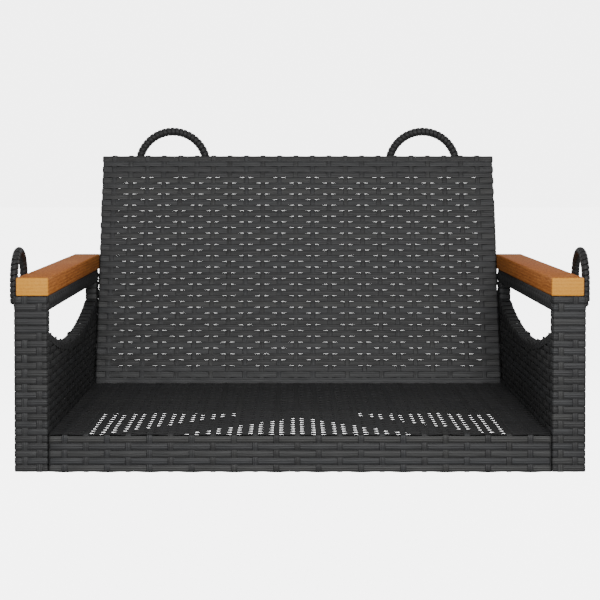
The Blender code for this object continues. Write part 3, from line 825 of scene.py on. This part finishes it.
def ring_line(name, span, flat, inward, reach):
    """The centre line of a ring: one foot, up, over the half circle, down, and the other foot."""
    low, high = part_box(f"{name}_cover")
    rod_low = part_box(name)[0].z
    outside = (high[flat] - low[flat]) / 2
    radius = (high[span] - low[span]) / 2 - outside
    centre = np.array((low + high) / 2)
    centre[2] = high.z - outside - radius
    sideways = np.zeros(3)
    sideways[span] = 1
    up = np.array([0, 0, 1])
    drop = centre[2] - rod_low - outside * ROD_SHARE
    angles = np.linspace(0, math.pi, 25)
    arc = [centre + radius * (sideways * math.cos(a) + up * math.sin(a)) for a in angles]
    feet = [centre + sideways * radius * hand - up * drop for hand in (1, -1)]
    ends = [foot + np.asarray(inward) * reach for foot in feet]
    first, _ = route([ends[0], feet[0], arc[0]], radius=RING_BEND)
    last, _ = route([arc[-1], feet[1], ends[1]], radius=RING_BEND)
    return np.vstack([first, arc[1:-1], last]), outside


def wind_ring(name, span, flat, inward, reach):
    """One strip wound round a ring; span is the axis along its width, flat the one across it."""
    line, outside = ring_line(name, span, flat, inward, reach)
    steps = np.concatenate([[0], np.cumsum(np.linalg.norm(np.diff(line, axis=0), axis=1))])
    at = np.linspace(0, steps[-1], round(steps[-1] / WIND_PITCH * WIND_STATIONS) + 1)
    line = np.column_stack([np.interp(at, steps, line[:, k]) for k in range(3)])
    ahead = unit(np.gradient(line, axis=0))
    side = np.zeros(3)
    side[span] = 1
    sides = []
    for way in ahead:
        side = unit(side - way * np.dot(side, way))
        sides.append(side)
    turned = (2 * math.pi * at / WIND_PITCH)[:, None]
    out = np.array(sides) * np.cos(turned) + np.cross(ahead, sides) * np.sin(turned)
    winding = lay(line + out * (outside - WIND_SINK), out, WIND_PITCH * WIND_COVERAGE, WIND_THICKNESS)
    gather([winding], f"{name}_winding", f"{name}_cover")


for name, hand in SIDES:
    wind_ring(f"{name}_back_ring", span=0, flat=1, inward=-behind, reach=0.010)
    wind_ring(f"{name}_side_ring", span=1, flat=0, inward=(-hand, 0, 0), reach=0.0085)

# %% [markdown]
# The armrests are planed boards with their sharp edges taken off. A cube at the board's size is
# bevelled all round in three steps, as a router bit with a small radius would leave it.

# %% Armrests
EDGE_ROUNDING = 0.0016

for name, _ in SIDES:
    low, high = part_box(f"{name}_armrest")
    bpy.ops.object.select_all(action="DESELECT")
    bpy.ops.mesh.primitive_cube_add(size=1, location=(low + high) / 2, scale=high - low)
    board = bpy.context.object
    bpy.ops.object.transform_apply(location=True, scale=True)
    bpy.ops.object.mode_set(mode="EDIT")
    bpy.ops.mesh.select_all(action="SELECT")
    bpy.ops.mesh.bevel(offset=EDGE_ROUNDING, segments=3)
    bpy.ops.object.mode_set(mode="OBJECT")
    settle(board, f"{name}_arm_board", "wood", [f"{name}_armrest"])

# %% [markdown]
# Finishes are built from shader nodes. Colours are written as sRGB hex values and made linear by one
# function, and one small function adds a node with its settings and links.

# %% Node helpers
MM = 0.001


def linear(hex_colour):
    """An sRGB hex colour as linear RGBA."""
    parts = [int(hex_colour[i:i + 2], 16) / 255 for i in (1, 3, 5)]
    return (*(p / 12.92 if p <= 0.04045 else ((p + 0.055) / 1.055) ** 2.4 for p in parts), 1)


def new_finish(name):
    finish = bpy.data.materials.new(name)
    finish.use_nodes = True
    return finish, finish.node_tree.nodes["Principled BSDF"]


def add(finish, kind, links=None, values=None, stops=(), **settings):
    """Adds a node: links join its inputs to outputs, values set its inputs, stops colour a ramp."""
    tree = finish.node_tree
    node = tree.nodes.new(f"ShaderNode{kind}")
    for key, value in settings.items():
        setattr(node, key, value)
    for i, (place, colour) in enumerate(stops):
        elements = node.color_ramp.elements
        element = elements[i] if i < len(elements) else elements.new(place)
        element.position, element.color = place, linear(colour)
    for key, value in (values or {}).items():
        node.inputs[key].default_value = value
    for key, source in (links or {}).items():
        tree.links.new(source, node.inputs[key])
    return node


def feed(finish, shader, **sources):
    """Joins outputs to the shader's inputs, named with _ for a space."""
    for key, source in sources.items():
        finish.node_tree.links.new(source, shader.inputs[key.replace("_", " ")])


print("a mid grey is", round(linear("#808080")[0], 3), "in linear light")

# %% [markdown]
# PE rattan strip is extruded polyethylene, coloured right through. The die leaves fine flutes along
# it, and no two reels have quite the same black. It gives the eye a satin black with thin pale lines
# along every strip and a small change of tone from strip to strip. The dark line between neighbours
# is painted shade: the colour darkens to near black along both edges of every strip.

# %% PE rattan strip
FLUTE = 2.5 * MM  # real flutes are under 1 mm apart; drawn coarser so that they show
STREAK = 0.9 * MM
PAINTED_SHADE_RIM = 1.0 * MM  # width of the painted shade along both edges of a strip, where neighbours meet

rattan, shader = new_finish("pe_rattan_strip_black")
place = add(rattan, "Attribute", attribute_name="strip")
parts = add(rattan, "SeparateXYZ", {"Vector": place.outputs["Vector"]})
tone = add(rattan, "ValToRGB", {"Fac": parts.outputs["Z"]},
           stops=((0.0, "#292929"), (0.35, "#2e2e2f"), (0.7, "#303133"), (1.0, "#363635")))
longways = add(rattan, "VectorMath", {0: place.outputs["Vector"]}, {1: (1 / 0.03, 1 / STREAK, 50)},
               operation="MULTIPLY")
fine = add(rattan, "TexNoise", {"Vector": longways.outputs["Vector"]}, {"Scale": 1.0, "Detail": 2.0})
shade = add(rattan, "ValToRGB", {"Fac": fine.outputs["Fac"]}, stops=((0.3, "#b4b4b4"), (0.7, "#ffffff")))
streaked = add(rattan, "Mix", {6: tone.outputs["Color"], 7: shade.outputs["Color"]}, {0: 1.0},
               data_type="RGBA", blend_type="MULTIPLY")
# Painted shade: over the last mm on both edges of a strip the colour fades to near black (#0d0d0e).
off_middle = add(rattan, "Math", {0: parts.outputs["Y"]}, operation="ABSOLUTE")
painted_rim_shade = add(rattan, "MapRange", {"Value": off_middle.outputs["Value"]},
          {"From Min": STRIP_WIDTH / 2 - PAINTED_SHADE_RIM, "From Max": STRIP_WIDTH / 2 - PAINTED_SHADE_RIM / 4})
coloured = add(rattan, "Mix", {0: painted_rim_shade.outputs["Result"], 6: streaked.outputs[2]},
               {7: linear("#0d0d0e")}, data_type="RGBA")
flutes = add(rattan, "Math", {0: parts.outputs["Y"]}, {1: 2 * math.pi / FLUTE}, operation="MULTIPLY")
grooves = add(rattan, "Math", {0: flutes.outputs["Value"]}, operation="SINE")
height = add(rattan, "Math", {0: grooves.outputs["Value"], 2: fine.outputs["Fac"]}, {1: 0.35},
             operation="MULTIPLY_ADD")
bump = add(rattan, "Bump", {"Height": height.outputs["Value"]}, {"Strength": 0.9, "Distance": 0.3 * MM})
satin = add(rattan, "MapRange", {"Value": fine.outputs["Fac"]}, {"To Min": 0.46, "To Max": 0.62})
shader.inputs["Specular IOR Level"].default_value = 0.35
shader.inputs["IOR"].default_value = 1.51
feed(rattan, shader, Base_Color=coloured.outputs[2], Roughness=satin.outputs["Result"],
     Normal=bump.outputs["Normal"])
print(rattan.name, len(rattan.node_tree.nodes), "nodes")

# %% [markdown]
# The armrests are oiled acacia, a hard, warm brown wood. Its growth layers lie almost flat in these
# boards, and fine pores follow the grain. It gives the eye a warm orange brown with short dark
# strokes along the board, and paler honey on the two sawn ends: partly the end grain's own tone,
# partly painted light for the front lamp on the end that faces it.

# %% Oiled acacia
LAYER = 4.5 * MM
PORE = 0.5 * MM

wood, shader = new_finish("oiled_acacia")
where = add(wood, "TexCoord").outputs["Object"]
slow = add(wood, "VectorMath", {0: where}, {1: (14.0, 2.2, 14.0)}, operation="MULTIPLY")
sway = add(wood, "TexNoise", {"Vector": slow.outputs["Vector"]}, {"Scale": 1.0, "Detail": 3.0})
flat = add(wood, "SeparateXYZ", {"Vector": where})
layers = add(wood, "Math", {0: flat.outputs["Z"]}, {1: 2 * math.pi / LAYER}, operation="MULTIPLY")
bent = add(wood, "Math", {0: sway.outputs["Fac"], 2: layers.outputs["Value"]}, {1: 9.0},
           operation="MULTIPLY_ADD")
band = add(wood, "Math", {0: bent.outputs["Value"]}, operation="SINE")
spread = add(wood, "MapRange", {"Value": band.outputs["Value"]}, {"From Min": -1.0})
grain_place = add(wood, "VectorMath", {0: where}, {1: (1 / PORE / 2, 1 / (16 * MM), 1 / PORE / 2)},
                  operation="MULTIPLY")
pores = add(wood, "TexNoise", {"Vector": grain_place.outputs["Vector"]}, {"Scale": 1.0, "Detail": 2.0})
figure = add(wood, "Math", {0: spread.outputs["Result"], 2: pores.outputs["Fac"]}, {1: 0.16},
             operation="MULTIPLY_ADD")
scaled = add(wood, "Math", {0: figure.outputs["Value"]}, {1: 0.87}, operation="MULTIPLY")
faces = add(wood, "ValToRGB", {"Fac": scaled.outputs["Value"]},
            stops=((0.2, "#7c3a13"), (0.45, "#ab5f22"), (0.75, "#d08640")))
# Paler colour for the two ends: partly end grain, partly painted light on the front end that faces the
# front lamp.
ends = add(wood, "ValToRGB", {"Fac": scaled.outputs["Value"]},
           stops=((0.1, "#b8701f"), (0.5, "#d79434"), (0.9, "#e4a648")))
facing = add(wood, "SeparateXYZ", {"Vector": add(wood, "NewGeometry").outputs["Normal"]})
on_end = add(wood, "Math", {0: facing.outputs["Y"]}, operation="ABSOLUTE")
wood_colour = add(wood, "Mix", {0: on_end.outputs["Value"], 6: faces.outputs["Color"],
                                7: ends.outputs["Color"]}, data_type="RGBA")
wood_bump = add(wood, "Bump", {"Height": pores.outputs["Fac"]}, {"Strength": 0.2, "Distance": 0.1 * MM})
shader.inputs["Roughness"].default_value = 0.6
shader.inputs["IOR"].default_value = 1.47
shader.inputs["Specular IOR Level"].default_value = 0.2
feed(wood, shader, Base_Color=wood_colour.outputs[2], Normal=wood_bump.outputs["Normal"])
print(wood.name, len(wood.node_tree.nodes), "nodes")

# %% [markdown]
# The frame is mild steel tube with a black powder coat, which dries to a fine orange-peel skin. It
# gives the eye deep black gaps between the strips. The fasteners are zinc-plated: small pale grey
# glints, with faint cloudy patches from the plating bath.

# %% Powder-coated and zinc-plated steel
PEEL = 0.9 * MM
CLOUD = 6 * MM

coat, shader = new_finish("powder_coated_steel_black")
where = add(coat, "TexCoord").outputs["Object"]
peel = add(coat, "TexNoise", {"Vector": where}, {"Scale": 1 / PEEL, "Detail": 1.0})
skin = add(coat, "ValToRGB", {"Fac": peel.outputs["Fac"]}, stops=((0.3, "#0d0d0e"), (0.7, "#121213")))
peel_bump = add(coat, "Bump", {"Height": peel.outputs["Fac"]}, {"Strength": 0.25, "Distance": 0.08 * MM})
shader.inputs["Roughness"].default_value = 0.5
feed(coat, shader, Base_Color=skin.outputs["Color"], Normal=peel_bump.outputs["Normal"])

zinc, shader = new_finish("zinc_plated_steel")
where = add(zinc, "TexCoord").outputs["Object"]
cloud = add(zinc, "TexNoise", {"Vector": where}, {"Scale": 1 / CLOUD, "Detail": 3.0})
plate = add(zinc, "ValToRGB", {"Fac": cloud.outputs["Fac"]}, stops=((0.3, "#9fa2a6"), (0.7, "#c4c7c9")))
dull = add(zinc, "MapRange", {"Value": cloud.outputs["Fac"]}, {"To Min": 0.25, "To Max": 0.45})
shader.inputs["Metallic"].default_value = 1.0
feed(zinc, shader, Base_Color=plate.outputs["Color"], Roughness=dull.outputs["Result"])
print(coat.name, "and", zinc.name)

# %% [markdown]
# Now the finishes go on. New pieces take theirs by slot, and the frame's own tubes, rods and
# fasteners keep their meshes and only change material.

# %% Give every piece its finish
for piece, slot in made:
    piece.data.materials.clear()
    piece.data.materials.append({"rattan": rattan, "wood": wood}[slot])
for name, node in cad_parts.items():
    finish = zinc if "bolt" in name or "screw" in name else coat
    for slot in node.material_slots:
        slot.material = finish
for shape, mesh in blanks.values():
    bpy.data.meshes.remove(mesh)
print(len(made), "woven and wooden pieces")

# %% [markdown]
# A swing hangs, so the floor is a seat's height below it. The light is one large soft panel in front,
# a weaker one above, two behind that bring out the sides and the rear, and an even pale surrounding.
# Floor and surrounding are brighter to the eye than to the swing, so the ground stays pale behind a
# nearly black object.

# %% Floor and light
FLOOR_DROP = 0.45
ROOM_LIGHT = 0.45  # brightness of the surrounding to the swing
BACKDROP = 5  # brightness of floor and surrounding to the eye

floor_finish, shader = new_finish("pale_matte_floor")
shader.inputs["Base Color"].default_value = linear("#f4f4f4")
shader.inputs["Roughness"].default_value = 0.9
shader.inputs["Emission Color"].default_value = linear("#ffffff")
shader.inputs["Emission Strength"].default_value = BACKDROP
bpy.ops.object.select_all(action="DESELECT")
bpy.ops.mesh.primitive_plane_add(size=60, location=(0, 0, -FLOOR_DROP))
floor = bpy.context.object
floor.name = "floor"
floor.data.materials.append(floor_finish)
floor.visible_diffuse = floor.visible_glossy = False

world = bpy.data.worlds.new("studio")
world.use_nodes = True
world.node_tree.nodes.clear()
white = linear("#ffffff")
surround = add(world, "Background", values={"Color": white, "Strength": ROOM_LIGHT})
backdrop = add(world, "Background", values={"Color": white, "Strength": BACKDROP})
seen = add(world, "LightPath").outputs["Is Camera Ray"]
either = add(world, "MixShader", {0: seen, 1: surround.outputs[0], 2: backdrop.outputs[0]})
add(world, "OutputWorld", {"Surface": either.outputs[0]})
bpy.context.scene.world = world


def soft_light(name, place, target, size, power):
    data = bpy.data.lights.new(name, "AREA")
    data.size = size
    data.energy = power
    lamp = bpy.data.objects.new(name, data)
    lamp.location = place
    lamp.rotation_euler = (Vector(target) - Vector(place)).to_track_quat("-Z", "Y").to_euler()
    bpy.context.scene.collection.objects.link(lamp)


soft_light("front_panel", (0.2, -3.6, 1.1), (0, 0, 0.2), 1.2, 110)
soft_light("top_panel", (0, -0.6, 2.6), (0, 0, 0.1), 1.6, 8)
soft_light("rear_left_panel", (-2.6, 2.4, 1.4), (-0.3, 0.2, 0.2), 1.2, 45)
soft_light("rear_right_panel", (2.6, 2.4, 1.4), (0.3, 0.2, 0.2), 1.2, 45)
print("four soft panels and a pale floor", FLOOR_DROP, "m below the swing")
